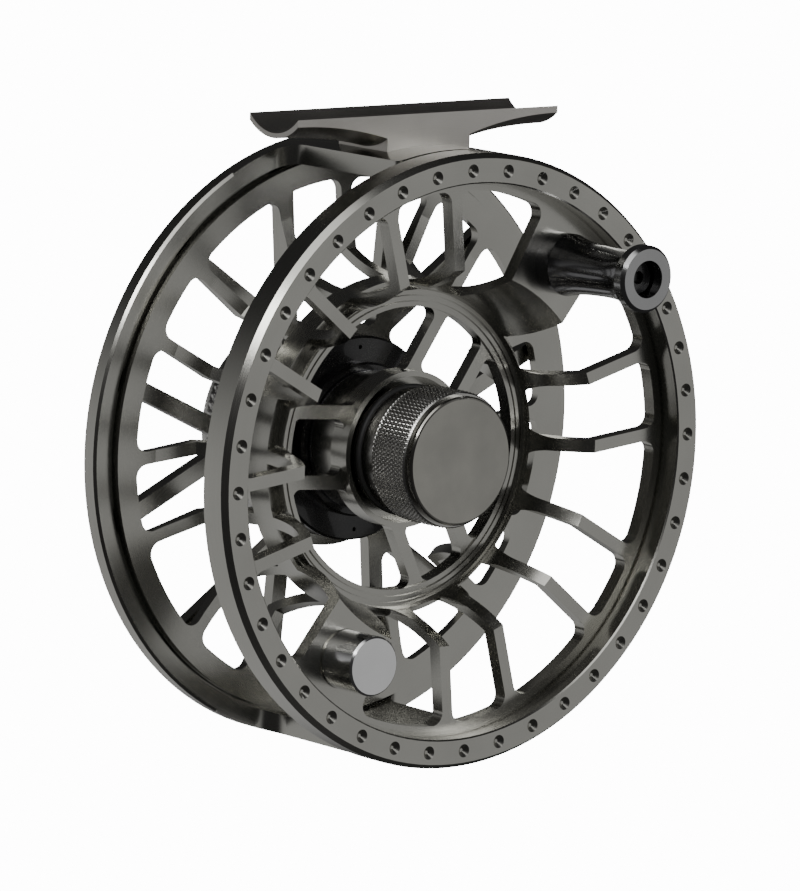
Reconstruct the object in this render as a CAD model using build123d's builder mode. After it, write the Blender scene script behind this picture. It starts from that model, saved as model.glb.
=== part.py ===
"""Fly reel: a large-arbor reel with a cage frame, a spoked spool and a disc drag.

X runs along the foot, Y runs back along the spindle and Z is up. The pieces are drawn about the
spindle's axis, from the plane of the palming rim's front face, and each one is then moved to the
reel's own frame, whose origin is in the middle of the foot's trough.
Lengths are millimetres and angles are degrees.
"""

from build123d import *

from math import atan2, cos, degrees, hypot, radians, sin, sqrt
import os

# ---------------------------------------------------------------- driving dimensions

# Overall
reel_radius = 55.0              # palming rim and frame ring, outside
reel_depth = 40.3               # rim's front face to the frame's back face
foot_length = 60.0
foot_width = 13.5
foot_rise = 5.7                 # foot's lips above the frame's ring

# Palming rim
rim_depth = 6.2
rim_wall = 5.3                  # radial thickness of the rim
rim_chamfer_width = 0.85        # across the face
rim_chamfer_depth = 1.1         # down the outside
rim_back_chamfer = 0.3
rim_face_chamfer = 0.25         # inner edge of the face
dimple_count = 40
dimple_inset = 3.0              # ring of dimples inside the rim's outside
dimple_radius = 1.2
dimple_depth = 0.75

# Front flange of the spool
flange_recess = 4.5             # rim's face to the flange's face
flange_thickness = 2.7
rim_groove_width = 0.6          # fine groove at the foot of the rim's wall
rim_groove_depth = 0.35
front_window_margin = 1.7       # rim's wall to the outer end of the front windows
bell_flare = 5.2                # the flat flange turns into the bell this far outside the waist
bell_waist_radius = 28.5        # inside of the arbor at its waist
bell_waist_offset = 0.2         # waist behind the middle of the two flanges
arbor_wall = 1.9

# Arbor between the two sets of windows
band_before_waist = 2.0
band_behind_waist = 3.2
bead_ring_rise = 2.9            # inwards from the waist
bead_ring_sink = 0.3            # into the arbor's wall
bead_before_waist = 2.7
bead_groove_width = 0.35
bead_groove_depth = 0.35

# Rear flange of the spool
rear_flange_gap = 0.7           # to the frame's back plate
rear_flange_thickness = 1.8
rear_window_margin = 4.2        # flange's edge to the outer end of the rear windows
rear_cone_margin = 8.4          # flange's edge to where it starts to thicken inwards
rear_cone_rise = 0.7

# Spokes stand in pairs, and two of the pairs are closed to carry the handle and its balance
pair_count = 8
spoke_width = 2.3
pair_half_gap = 6.4             # spoke centre to pair centre, at the bell's mouth
spoke_splay = 4.6               # each spoke's angle to its pair's centre line
window_corner = 2.2
window_root = 1.4
spool_rest_angle = 10.5         # how the spool stands in the frame at rest
handle_inset = 8.7              # handle and counterweight inside the rim's wall
handle_pair = 1
counterweight_pair = 5
web_flare = 5.0                 # radius that widens a closed pair towards the arbor

# Spider and hub of the spool
arm_count = 3
arm_half_gap = 6.3
arm_width = 2.5
arm_first_angle = 45.0
spider_before_waist = 2.3
spider_thickness = 2.5
spider_corner = 1.5
hub_radius = 14.2
hub_lip_before_waist = 4.1
hub_lip_wall = 1.0
hub_pocket_depth = 3.2
hub_gap = 0.8                   # to the drag housing's cover
hub_rear_radius = 12.6
drive_socket_depth = 3.6

# Spindle and bushings
running_clearance = 0.04
seat_clearance = 0.01
spindle_radius = 3.0
spindle_in_cap = 3.2            # spindle's front end past the knurl's back
spindle_flange_radius = 6.2
spindle_flange_thickness = 1.5
bushing_radius = 5.0
bushing_gap = 0.5               # between the two bushings
bushing_flange_radius = 6.4
bushing_flange_thickness = 0.7
end_float = 0.05
clip_radius = 4.4
clip_thickness = 0.7
clip_groove_depth = 0.5

# Cap that holds the spool on
cap_front = 2.1
cap_disc_radius = 11.6
cap_disc_thickness = 1.3
cap_disc_bevel = 0.25
cap_knurl_radius = 12.2
cap_band_length = 4.1           # smooth, between the knurl and the hub's lip
cap_knurl_bevel = 0.6
cap_band_radius = 11.4
cap_bore_floor = 4.8
cap_groove_from_back = 1.0
cap_groove_depth = 0.9
cap_groove_width = 1.4
o_ring_squeeze = 0.02
washer_thickness = 0.8
washer_radius = 8.5

# Handle
handle_length = 24.0            # flange face to the end ring's face
handle_base_radius = 5.6
handle_waist_radius = 4.55
handle_waist_place = 0.45       # of the grip's length, from its foot
handle_neck_radius = 5.35
handle_end_radius = 6.0
handle_end_length = 2.6
handle_end_bevel = 0.6
handle_end_hole = 3.35
handle_foot_length = 3.4
handle_gap = 0.12
handle_post_radius = 2.6
handle_stub_radius = 2.0
handle_screw_radius = 1.3
handle_screw_length = 8.0
handle_head_radius = 2.9
handle_head_length = 1.6
handle_head_recess = 2.6        # below the end ring's face
handle_washer_thickness = 0.5
handle_washer_radius = 3.2
driver_radius = 1.2
driver_depth = 0.9

# Counterweight
counterweight_radius = 5.35
counterweight_length = 8.2
counterweight_bevel = 0.35
counterweight_screw_radius = 1.5
counterweight_screw_length = 7.0
counterweight_head_radius = 2.6
counterweight_head_length = 1.2

# Frame
frame_ring_depth = 3.5
frame_ring_wall = 3.4
frame_chamfer = 0.45
spool_gap = 0.6                 # spool flanges inside the frame's ring
bridge_front_gap = 0.6          # behind the palming rim
bridge_half_angle = 13.5
bridge_flare = 4.0
bridge_front_corner = 1.2
back_plate_thickness = 2.5
back_ring_step = 1.4            # the back plate's windows end this far inside the ring
vee_count = 6
vee_ring_angle = 15.0           # where a leg of a V meets the ring, from the V's middle
vee_apex = 21.0                 # where the middles of a V's legs meet
vee_width = 3.1
vee_corner = 1.6
frame_hub_margin = 1.9          # outside the drag housing

# Foot
trough_radius = 9.2
foot_near_side = 14.0           # the foot's side nearest the handle
wing_tip = 0.9
wing_root = 3.2
stem_length = 19.0
foot_screw_spacing = 11.0
foot_screw_radius = 1.5
foot_head_radius = 2.8
foot_head_length = 1.5
foot_screw_reach = 4.6          # above the inside of the bridge

# Drag housing and its cover
cover_rise = 1.6                # in front of the housing's flange
cover_radius = 14.0
cover_lip = 0.5                 # wall in front of the seal
housing_depth = 6.8
housing_wall = 4.0
housing_bore_gap = 0.4          # round the discs
housing_floor = 1.3
cover_flange = 1.3
cover_bevel = 0.4
seal_radius = 8.2
seal_length = 2.0
housing_screw_radius = 0.8
housing_screw_count = 6
housing_screw_reach = 2.0       # into the frame's hub
housing_head_radius = 1.4
housing_head_length = 0.9

# Clutch and drag discs
sleeve_radius = 6.6
sleeve_hex_radius = 8.0         # across the corners, halved
sleeve_hex_length = 3.4
sleeve_flange_gap = 0.2
roller_radius = 0.95
roller_length = 2.6
roller_count = 12
shell_wall = 1.2
shell_length = 3.2
disc_radius = 14.2
disc_thickness = 0.8
disc_gap = 0.05
plate_thickness = 1.0
take_up = 0.20                  # slack before the pressure plate meets the discs
pin_circle = 12.0
pin_radius = 1.2
pin_count = 3

# Adjuster and drag knob
thrust_gap = 0.9                # behind the frame
thrust_radius = 13.4
thrust_thickness = 1.0
spring_length = 2.4
nut_slack = 0.7                 # the nut takes this up before it loads the springs
spring_inner_gap = 0.6          # round the spindle
spring_outer = 7.4
spring_gauge = 0.4
spring_count = 4
nut_hex_radius = 7.2
nut_length = 4.0
knob_front_gap = 1.0
knob_radius = 18.7
knob_length = 12.0
knob_chamfer = 1.0
knob_wall = 2.4
knob_boss_wall = 2.0
knob_boss_length = 4.6
knob_screw_radius = 1.5
knob_screw_length = 7.0
knob_head_radius = 3.4
knob_head_length = 1.2

# Click
click_circle = 11.4
click_hole_radius = 0.55
click_count = 36
click_ring_width = 2.6
click_ring_thickness = 0.5
plunger_radius = 0.9
plunger_length = 1.4
plunger_tip_radius = 0.4
plunger_tip_reach = 0.15        # into a hole of the click ring
plunger_pocket = 2.6
click_spring_inner = 0.3
click_spring_outer = 0.8
click_spring_gauge = 0.15
click_spring_count = 2


# ---------------------------------------------------------------- worked out from them

rim_inner = reel_radius - rim_wall
dimple_circle = reel_radius - dimple_inset
front_window_radius = rim_inner - front_window_margin
handle_circle = rim_inner - handle_inset
flange_back = flange_recess + flange_thickness
frame_ring_inner = reel_radius - frame_ring_wall
frame_back = reel_depth
frame_ring_front = frame_back - frame_ring_depth
frame_plate_front = frame_back - back_plate_thickness
foot_top_height = reel_radius + foot_rise
spool_outer = frame_ring_inner - spool_gap
back_window_radius = frame_ring_inner - back_ring_step
rear_window_radius = spool_outer - rear_window_margin
rear_cone_outer = spool_outer - rear_cone_margin
rear_flange_back = frame_plate_front - rear_flange_gap
rear_flange_front = rear_flange_back - rear_flange_thickness
bell_mouth_radius = bell_waist_radius + bell_flare
bell_waist_depth = (flange_recess + rear_flange_back) / 2 + bell_waist_offset
band_front = bell_waist_depth - band_before_waist
band_back = bell_waist_depth + band_behind_waist
bead_ring_inner = bell_waist_radius - bead_ring_rise
bead_ring_outer = bell_waist_radius + bead_ring_sink
bead_ring_face = bell_waist_depth - bead_before_waist
spider_front = bell_waist_depth - spider_before_waist
spider_back = spider_front + spider_thickness
hub_lip_front = bell_waist_depth - hub_lip_before_waist
waist_outer = bell_waist_radius + arbor_wall
housing_front = frame_plate_front - housing_depth
cover_front = housing_front - cover_rise
hub_back = cover_front - hub_gap
housing_bore = disc_radius + housing_bore_gap
housing_radius = housing_bore + housing_wall
housing_screw_circle = housing_bore + housing_wall / 2
frame_hub_radius = housing_radius + frame_hub_margin

# The bell's inside is an arc through its mouth and its waist
bell_run = bell_waist_depth - flange_recess
bell_arc = (bell_run ** 2 + bell_flare ** 2) / (2 * bell_flare)
bell_centre = bell_waist_radius + bell_arc
line_arc = bell_arc - arbor_wall


def bell_inside(depth):
    """Radius of the arbor's inside at a depth along the spindle."""
    return bell_centre - sqrt(bell_arc ** 2 - (depth - bell_waist_depth) ** 2)


def bell_outside(depth):
    """Radius of the arbor's line side at a depth along the spindle."""
    return bell_centre - sqrt(line_arc ** 2 - (depth - bell_waist_depth) ** 2)


spoke_slope = sin(radians(spoke_splay)) / cos(radians(spoke_splay))
handle_angle = spool_rest_angle + handle_pair * 360 / pair_count
counterweight_angle = spool_rest_angle + counterweight_pair * 360 / pair_count
pocket_radius = hub_radius - hub_lip_wall
pocket_floor = hub_lip_front + hub_pocket_depth
washer_back = pocket_floor - bushing_flange_thickness - end_float
washer_front = washer_back - washer_thickness
cap_back = washer_front - end_float
cap_knurl_back = hub_lip_front - cap_band_length
spindle_front = cap_knurl_back - spindle_in_cap
socket_floor = hub_back - drive_socket_depth
bushing_length = (socket_floor - pocket_floor - bushing_gap) / 2
cup_front = housing_front + cover_flange
cup_floor = frame_plate_front - housing_floor
front_disc_front = cup_front + disc_gap
rotor_front = front_disc_front + disc_thickness + disc_gap
rear_disc_front = rotor_front + disc_thickness + disc_gap
plate_front = rear_disc_front + disc_thickness + take_up
plate_back = plate_front + plate_thickness
spindle_flange_front = frame_plate_front - spindle_flange_thickness
sleeve_back = spindle_flange_front - sleeve_flange_gap
roller_circle = sleeve_radius + roller_radius + running_clearance
shell_inner = roller_circle + roller_radius + running_clearance
shell_outer = shell_inner + shell_wall
shell_front = cup_front + disc_gap
thrust_front = frame_back + thrust_gap
thrust_back = thrust_front + thrust_thickness
nut_front = thrust_back + spring_length + nut_slack
knob_front = frame_back + knob_front_gap
knob_back = knob_front + knob_length
knob_floor = knob_back - knob_wall
spindle_back = knob_floor - end_float
click_ring_back = hub_back + click_ring_thickness
foot_middle = foot_near_side + foot_width / 2
trough_height = foot_top_height + sqrt(trough_radius ** 2 - (foot_width / 2) ** 2)
to_foot = Location((0, -foot_middle, trough_radius - trough_height))


# ---------------------------------------------------------------- helpers

def across(depth, turned=0.0):
    """A plane across the spindle: x along the foot, y up, both turned about the spindle."""
    along = (cos(radians(turned)), 0, sin(radians(turned)))
    return Plane(origin=(0, depth, 0), x_dir=along, z_dir=(0, -1, 0))


def station(radius, angle, depth=0.0):
    """The point at a radius and an angle about the spindle, at a depth along it."""
    return (radius * cos(radians(angle)), depth, radius * sin(radians(angle)))


def lengthwise(centre=(0, 0, 0)):
    """A plane along the spindle, for profiles whose x is a radius and whose y is a depth."""
    return Plane(origin=centre, x_dir=(1, 0, 0), z_dir=(0, 0, 1))


def turn(points, centre=(0, 0, 0), mode=Mode.ADD):
    """Turns a straight-sided profile of (radius, depth) points about a line along Y."""
    with BuildSketch(lengthwise(centre)) as profile:
        with BuildLine():
            Polyline(*points, close=True)
        make_face()
    revolve(profile.sketch, axis=Axis(centre, (0, 1, 0)), mode=mode)


def tube(inner, outer, front, back, centre=(0, 0, 0), mode=Mode.ADD):
    """A plain ring about a line along Y, or a solid disc where inner is 0."""
    turn([(inner, front), (outer, front), (outer, back), (inner, back)], centre, mode)


def disc_springs(inner, outer, gauge, front, back, count, centre=(0, 0, 0)):
    """A stack of coned disc springs between two depths, each turned the other way from the last."""
    space = (back - front) / count
    rise = space - gauge - end_float
    for spring in range(count):
        start = front + spring * space + end_float / 2
        inner_start = start + (rise if spring % 2 else 0)
        outer_start = start + (0 if spring % 2 else rise)
        turn([
            (inner, inner_start),
            (outer, outer_start),
            (outer, outer_start + gauge),
            (inner, inner_start + gauge),
        ], centre)


# ---------------------------------------------------------------- spool

os.makedirs("parts", exist_ok=True)


def leave_bar(start, end, width, angle):
    """Leaves a straight bar standing in a sketch of openings, turned about the spindle."""
    start = Vector(*start)
    end = Vector(*end)
    aside = Vector(start.Y - end.Y, end.X - start.X).normalized() * (width / 2)
    with BuildLine(mode=Mode.PRIVATE) as outline:
        Polyline(start - aside, end - aside, end + aside, start + aside, close=True)
    face = make_face(outline.edges(), mode=Mode.PRIVATE)
    add(face.rotate(Axis.Z, angle), mode=Mode.SUBTRACT)


def leave_spokes():
    """Leaves every spoke of a flange standing in the sketch of its windows."""
    near = pair_half_gap - bell_mouth_radius * spoke_slope
    far = near + 2 * reel_radius * spoke_slope
    for pair in range(pair_count):
        for side in (-1, 1):
            leave_bar((0, side * near), (2 * reel_radius, side * far), spoke_width, pair * 360 / pair_count)


def corners_at(windows, radius):
    """The windows' corners that lie on a circle about the spindle."""
    return windows.vertices().filter_by(lambda corner: abs(hypot(corner.X, corner.Y) - radius) < 0.05)


def beside_closed_pair(corner):
    """Whether a window's corner is next to a closed pair of spokes."""
    angle = degrees(atan2(corner.Y, corner.X))
    for pair in (handle_pair, counterweight_pair):
        apart = abs((angle - pair * 360 / pair_count + 180) % 360 - 180)
        if apart < 180 / pair_count:
            return True
    return False


def leave_pad(pair):
    """Fills the gap between the two spokes of a pair in the sketch of the windows."""
    near = pair_half_gap - bell_mouth_radius * spoke_slope
    far = near + 2 * reel_radius * spoke_slope
    with BuildLine(mode=Mode.PRIVATE) as pad:
        Polyline((0, -near), (2 * reel_radius, -far), (2 * reel_radius, far), (0, near), close=True)
    face = make_face(pad.edges(), mode=Mode.PRIVATE)
    add(face.rotate(Axis.Z, pair * 360 / pair_count), mode=Mode.SUBTRACT)


with BuildPart() as spool:
    # Rim, flanges and arbor are one turned shape
    with BuildSketch(lengthwise()) as section:
        with BuildLine():
            Polyline(
                (rim_inner + rim_face_chamfer, 0),
                (reel_radius - rim_chamfer_width, 0),
                (reel_radius, rim_chamfer_depth),
                (reel_radius, rim_depth - rim_back_chamfer),
                (reel_radius - rim_back_chamfer, rim_depth),
                (spool_outer, rim_depth),
                (spool_outer, flange_back),
                (bell_outside(flange_back), flange_back),
            )
            ThreePointArc(
                (bell_outside(flange_back), flange_back),
                (waist_outer, bell_waist_depth),
                (bell_outside(rear_flange_front - rear_cone_rise), rear_flange_front - rear_cone_rise),
            )
            Polyline(
                (bell_outside(rear_flange_front - rear_cone_rise), rear_flange_front - rear_cone_rise),
                (rear_cone_outer, rear_flange_front),
                (spool_outer, rear_flange_front),
                (spool_outer, rear_flange_back),
                (bell_inside(rear_flange_back), rear_flange_back),
            )
            ThreePointArc(
                (bell_inside(rear_flange_back), rear_flange_back),
                (bell_waist_radius, bell_waist_depth),
                (bell_mouth_radius, flange_recess),
            )
            Polyline(
                (bell_mouth_radius, flange_recess),
                (rim_inner - rim_groove_width, flange_recess),
                (rim_inner - rim_groove_width, flange_recess + rim_groove_depth),
                (rim_inner, flange_recess + rim_groove_depth),
                (rim_inner, rim_face_chamfer),
                (rim_inner + rim_face_chamfer, 0),
            )
        make_face()
    revolve(section.sketch, axis=Axis.Y)

    # Front windows run parallel to the spindle down to the arbor's band
    with BuildSketch(across(0, spool_rest_angle)) as front_windows:
        Circle(front_window_radius)
        Circle(bead_ring_outer, mode=Mode.SUBTRACT)
        leave_spokes()
        leave_pad(handle_pair)
        leave_pad(counterweight_pair)
        fillet(corners_at(front_windows, front_window_radius), window_corner)
        roots = corners_at(front_windows, bead_ring_outer)
        beside_web = roots.filter_by(beside_closed_pair)
        fillet(roots - beside_web, window_root)
        fillet(beside_web, web_flare)
    extrude(front_windows.sketch, amount=-band_front, mode=Mode.SUBTRACT)

    # Rear windows are cut from behind up to the other side of the band
    with BuildSketch(across(rear_flange_back, spool_rest_angle)) as rear_windows:
        Circle(rear_window_radius)
        Circle(bell_waist_radius, mode=Mode.SUBTRACT)
        leave_spokes()
        fillet(corners_at(rear_windows, rear_window_radius), window_corner)
        fillet(corners_at(rear_windows, bell_waist_radius), window_root)
    extrude(rear_windows.sketch, amount=rear_flange_back - band_back, mode=Mode.SUBTRACT)

    # Bead ring inside the waist, with its two fine grooves
    tube(bead_ring_inner, bell_waist_radius + arbor_wall / 2, bead_ring_face, spider_back)
    for groove in (1, 2):
        middle = bead_ring_inner + groove * (bead_ring_outer - bead_ring_inner) / 3
        inner = middle - bead_groove_width / 2
        outer = middle + bead_groove_width / 2
        tube(inner, outer, bead_ring_face, bead_ring_face + bead_groove_depth, mode=Mode.SUBTRACT)

    # Spider: a thin plate with openings between three pairs of arms
    tube(pocket_radius, bead_ring_inner + arbor_wall, spider_front, spider_back)
    with BuildSketch(across(spider_front, spool_rest_angle)) as spider_openings:
        Circle(bead_ring_inner)
        Circle(hub_radius, mode=Mode.SUBTRACT)
        for arm in range(arm_count):
            for side in (-1, 1):
                leave_bar(
                    (0, side * arm_half_gap),
                    (bead_ring_outer, side * arm_half_gap),
                    arm_width,
                    arm_first_angle + arm * 360 / arm_count,
                )
        fillet(spider_openings.vertices(), spider_corner)
    extrude(spider_openings.sketch, amount=-spider_thickness, mode=Mode.SUBTRACT)

    # Hub: a thin-lipped pocket for the cap in front and a hexagonal drive socket behind
    tube(0, hub_radius, hub_lip_front, spider_back)
    tube(0, hub_rear_radius, spider_back, hub_back)
    tube(0, pocket_radius, hub_lip_front, pocket_floor, mode=Mode.SUBTRACT)
    tube(0, bushing_radius, pocket_floor, hub_back, mode=Mode.SUBTRACT)
    with BuildSketch(across(hub_back, spool_rest_angle)) as drive_socket:
        RegularPolygon(sleeve_hex_radius + running_clearance, 6)
    extrude(drive_socket.sketch, amount=drive_socket_depth, mode=Mode.SUBTRACT)

    # Holes for the handle's post and the counterweight's screw
    for centre, radius in (
        (station(handle_circle, handle_angle), handle_stub_radius),
        (station(handle_circle, counterweight_angle), counterweight_screw_radius),
    ):
        tube(0, radius + seat_clearance, flange_recess, flange_back, centre, mode=Mode.SUBTRACT)

    # Conical dimples round the palming rim
    with Locations(across(0, spool_rest_angle)):
        with PolarLocations(dimple_circle, dimple_count):
            Cone(
                bottom_radius=dimple_radius / 4,
                top_radius=dimple_radius,
                height=dimple_depth,
                align=(Align.CENTER, Align.CENTER, Align.MAX),
                mode=Mode.SUBTRACT,
            )

spool.part.label = "spool"
export_step(spool.part.moved(to_foot), "parts/spool.step")


# ---------------------------------------------------------------- spool's fittings

with BuildPart() as front_bushing:
    tube(spindle_radius + running_clearance, bushing_flange_radius,
         pocket_floor - bushing_flange_thickness, pocket_floor)
    tube(spindle_radius + running_clearance, bushing_radius - seat_clearance,
         pocket_floor, pocket_floor + bushing_length)

front_bushing.part.label = "front_bushing"
export_step(front_bushing.part.moved(to_foot), "parts/front_bushing.step")

with BuildPart() as rear_bushing:
    tube(spindle_radius + running_clearance, bushing_radius - seat_clearance,
         socket_floor - bushing_length, socket_floor)

rear_bushing.part.label = "rear_bushing"
export_step(rear_bushing.part.moved(to_foot), "parts/rear_bushing.step")

with BuildPart() as drive_sleeve:
    with BuildSketch(across(socket_floor + end_float, spool_rest_angle)) as hexagon:
        RegularPolygon(sleeve_hex_radius, 6)
    extrude(hexagon.sketch, amount=-sleeve_hex_length)
    tube(0, sleeve_radius, socket_floor + sleeve_hex_length, sleeve_back)
    tube(0, spindle_radius + running_clearance, socket_floor, sleeve_back, mode=Mode.SUBTRACT)

drive_sleeve.part.label = "drive_sleeve"
export_step(drive_sleeve.part.moved(to_foot), "parts/drive_sleeve.step")

with BuildPart() as click_ring:
    tube(hub_rear_radius - click_ring_width, hub_rear_radius, hub_back, click_ring_back)
    with Locations(across(hub_back)):
        with PolarLocations(click_circle, click_count, start_angle=90):
            Cylinder(click_hole_radius, 3 * click_ring_thickness, mode=Mode.SUBTRACT)

click_ring.part.label = "click_ring"
export_step(click_ring.part.moved(to_foot), "parts/click_ring.step")


# ---------------------------------------------------------------- counterweight

balance = station(handle_circle, counterweight_angle)
weight_front = flange_recess - counterweight_length
weight_screw_tip = flange_back - counterweight_screw_length

with BuildPart() as counterweight:
    turn([
        (0, weight_front),
        (counterweight_radius - counterweight_bevel, weight_front),
        (counterweight_radius, weight_front + counterweight_bevel),
        (counterweight_radius, flange_recess - counterweight_bevel),
        (counterweight_radius - counterweight_bevel, flange_recess),
        (0, flange_recess),
    ], balance)
    tube(0, counterweight_screw_radius + seat_clearance, weight_screw_tip - end_float,
         flange_recess, balance, mode=Mode.SUBTRACT)

counterweight.part.label = "counterweight"
export_step(counterweight.part.moved(to_foot), "parts/counterweight.step")

with BuildPart() as counterweight_screw:
    tube(0, counterweight_screw_radius, weight_screw_tip, flange_back, balance)
    tube(0, counterweight_head_radius, flange_back, flange_back + counterweight_head_length, balance)
    tube(0, driver_radius, flange_back + counterweight_head_length - driver_depth,
         flange_back + counterweight_head_length, balance, mode=Mode.SUBTRACT)

counterweight_screw.part.label = "counterweight_screw"
export_step(counterweight_screw.part.moved(to_foot), "parts/counterweight_screw.step")


# ---------------------------------------------------------------- handle

crank = station(handle_circle, handle_angle)
handle_face = flange_recess - handle_length
grip_back = flange_recess - handle_foot_length - handle_gap
grip_front = handle_face + handle_end_length
grip_length = grip_back - grip_front
screw_head_front = handle_face + handle_head_recess
washer_seat = screw_head_front + handle_head_length
post_front = washer_seat + handle_washer_thickness
grip_shoulder = post_front + handle_gap
screw_tip = washer_seat + handle_screw_length
grip_bore = handle_post_radius + running_clearance

with BuildPart() as handle_foot:
    tube(handle_post_radius + seat_clearance, handle_base_radius,
         flange_recess - handle_foot_length, flange_recess, crank)

handle_foot.part.label = "handle_foot"
export_step(handle_foot.part.moved(to_foot), "parts/handle_foot.step")

with BuildPart() as handle_post:
    tube(0, handle_post_radius, post_front, flange_recess, crank)
    tube(0, handle_stub_radius, flange_recess, flange_back, crank)
    tube(0, handle_screw_radius + seat_clearance, post_front, screw_tip + end_float,
         crank, mode=Mode.SUBTRACT)

handle_post.part.label = "handle_post"
export_step(handle_post.part.moved(to_foot), "parts/handle_post.step")

with BuildPart() as handle_grip:
    with BuildSketch(lengthwise(crank)) as section:
        with BuildLine():
            waist = (handle_waist_radius, grip_back - handle_waist_place * grip_length)
            side = Spline(
                (handle_base_radius, grip_back),
                waist,
                (handle_neck_radius, grip_front),
                tangents=((-0.3, -1), (0.35, -1)),
            )
            Polyline(side @ 1, (handle_end_hole, grip_front), (handle_end_hole, grip_shoulder),
                     (grip_bore, grip_shoulder), (grip_bore, grip_back), side @ 0)
        make_face()
    revolve(section.sketch, axis=Axis(crank, (0, 1, 0)))

handle_grip.part.label = "handle_grip"
export_step(handle_grip.part.moved(to_foot), "parts/handle_grip.step")

with BuildPart() as handle_end_ring:
    turn([
        (handle_end_hole, handle_face),
        (handle_end_radius - handle_end_bevel, handle_face),
        (handle_end_radius, handle_face + handle_end_bevel),
        (handle_end_radius, grip_front - handle_end_bevel / 2),
        (handle_end_radius - handle_end_bevel / 2, grip_front),
        (handle_end_hole, grip_front),
    ], crank)

handle_end_ring.part.label = "handle_end_ring"
export_step(handle_end_ring.part.moved(to_foot), "parts/handle_end_ring.step")

with BuildPart() as handle_washer:
    tube(handle_screw_radius + running_clearance, handle_washer_radius, washer_seat, post_front, crank)

handle_washer.part.label = "handle_washer"
export_step(handle_washer.part.moved(to_foot), "parts/handle_washer.step")

with BuildPart() as handle_screw:
    tube(0, handle_screw_radius, washer_seat, screw_tip, crank)
    tube(0, handle_head_radius, screw_head_front, washer_seat, crank)
    tube(0, driver_radius, screw_head_front, screw_head_front + driver_depth, crank, mode=Mode.SUBTRACT)

handle_screw.part.label = "handle_screw"
export_step(handle_screw.part.moved(to_foot), "parts/handle_screw.step")


# ---------------------------------------------------------------- cap

with BuildPart() as spool_cap:
    disc_back = cap_front + cap_disc_thickness
    groove_back = cap_back - cap_groove_from_back
    groove_front = groove_back - cap_groove_width
    groove_bottom = cap_band_radius - cap_groove_depth
    turn([
        (0, disc_back),
        (cap_knurl_radius - cap_knurl_bevel, disc_back),
        (cap_knurl_radius, disc_back + cap_knurl_bevel),
        (cap_knurl_radius, cap_knurl_back - cap_knurl_bevel),
        (cap_knurl_radius - cap_knurl_bevel, cap_knurl_back),
        (cap_band_radius, cap_knurl_back),
        (cap_band_radius, groove_front),
        (groove_bottom, groove_front),
        (groove_bottom, groove_back),
        (cap_band_radius, groove_back),
        (cap_band_radius, cap_back),
        (spindle_radius + running_clearance, cap_back),
        (spindle_radius + running_clearance, cap_bore_floor),
        (0, cap_bore_floor),
    ])

spool_cap.part.label = "spool_cap"
export_step(spool_cap.part.moved(to_foot), "parts/spool_cap.step")

with BuildPart() as cap_disc:
    turn([
        (0, cap_front),
        (cap_disc_radius - 2 * cap_disc_bevel, cap_front),
        (cap_disc_radius - cap_disc_bevel, cap_front + cap_disc_bevel / 2),
        (cap_disc_radius, cap_front + cap_disc_bevel * 3 / 2),
        (cap_disc_radius, disc_back),
        (0, disc_back),
    ])

cap_disc.part.label = "cap_disc"
export_step(cap_disc.part.moved(to_foot), "parts/cap_disc.step")

with BuildPart() as cap_o_ring:
    ring_section = cap_groove_width / 2 - o_ring_squeeze
    with BuildSketch(lengthwise()) as section:
        with Locations((groove_bottom + ring_section + o_ring_squeeze, (groove_front + groove_back) / 2)):
            Circle(ring_section)
    revolve(section.sketch, axis=Axis.Y)

cap_o_ring.part.label = "cap_o_ring"
export_step(cap_o_ring.part.moved(to_foot), "parts/cap_o_ring.step")

with BuildPart() as cap_washer:
    tube(spindle_radius + running_clearance, washer_radius, washer_front, washer_back)

cap_washer.part.label = "cap_washer"
export_step(cap_washer.part.moved(to_foot), "parts/cap_washer.step")


# ---------------------------------------------------------------- spindle

with BuildPart() as spindle:
    tube(0, spindle_radius, spindle_front, spindle_back)
    tube(0, spindle_flange_radius, spindle_flange_front, frame_plate_front)
    tube(spindle_radius - clip_groove_depth, spindle_radius, frame_back, frame_back + clip_thickness,
         mode=Mode.SUBTRACT)
    tube(0, knob_screw_radius + seat_clearance, knob_floor - knob_screw_length, spindle_back,
         mode=Mode.SUBTRACT)

spindle.part.label = "spindle"
export_step(spindle.part.moved(to_foot), "parts/spindle.step")

with BuildPart() as spindle_clip:
    tube(spindle_radius - clip_groove_depth + seat_clearance, clip_radius,
         frame_back + seat_clearance, frame_back + clip_thickness - seat_clearance)
    with BuildSketch(across(frame_back)) as mouth:
        with Locations((0, -clip_radius)):
            Rectangle(2 * (spindle_radius - clip_groove_depth), 2 * clip_radius)
    extrude(mouth.sketch, amount=-clip_thickness, mode=Mode.SUBTRACT)

spindle_clip.part.label = "spindle_clip"
export_step(spindle_clip.part.moved(to_foot), "parts/spindle_clip.step")


# ---------------------------------------------------------------- frame

bridge_front = rim_depth + bridge_front_gap
bridge_half_width = reel_radius * sin(radians(bridge_half_angle))
pin_places = [station(pin_circle, 90 + pin * 360 / pin_count) for pin in range(pin_count)]
screw_places = [
    station(housing_screw_circle, 90 + screw * 360 / housing_screw_count)
    for screw in range(housing_screw_count)
]
foot_screw_places = [(side * foot_screw_spacing / 2, foot_middle, 0) for side in (-1, 1)]

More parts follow.
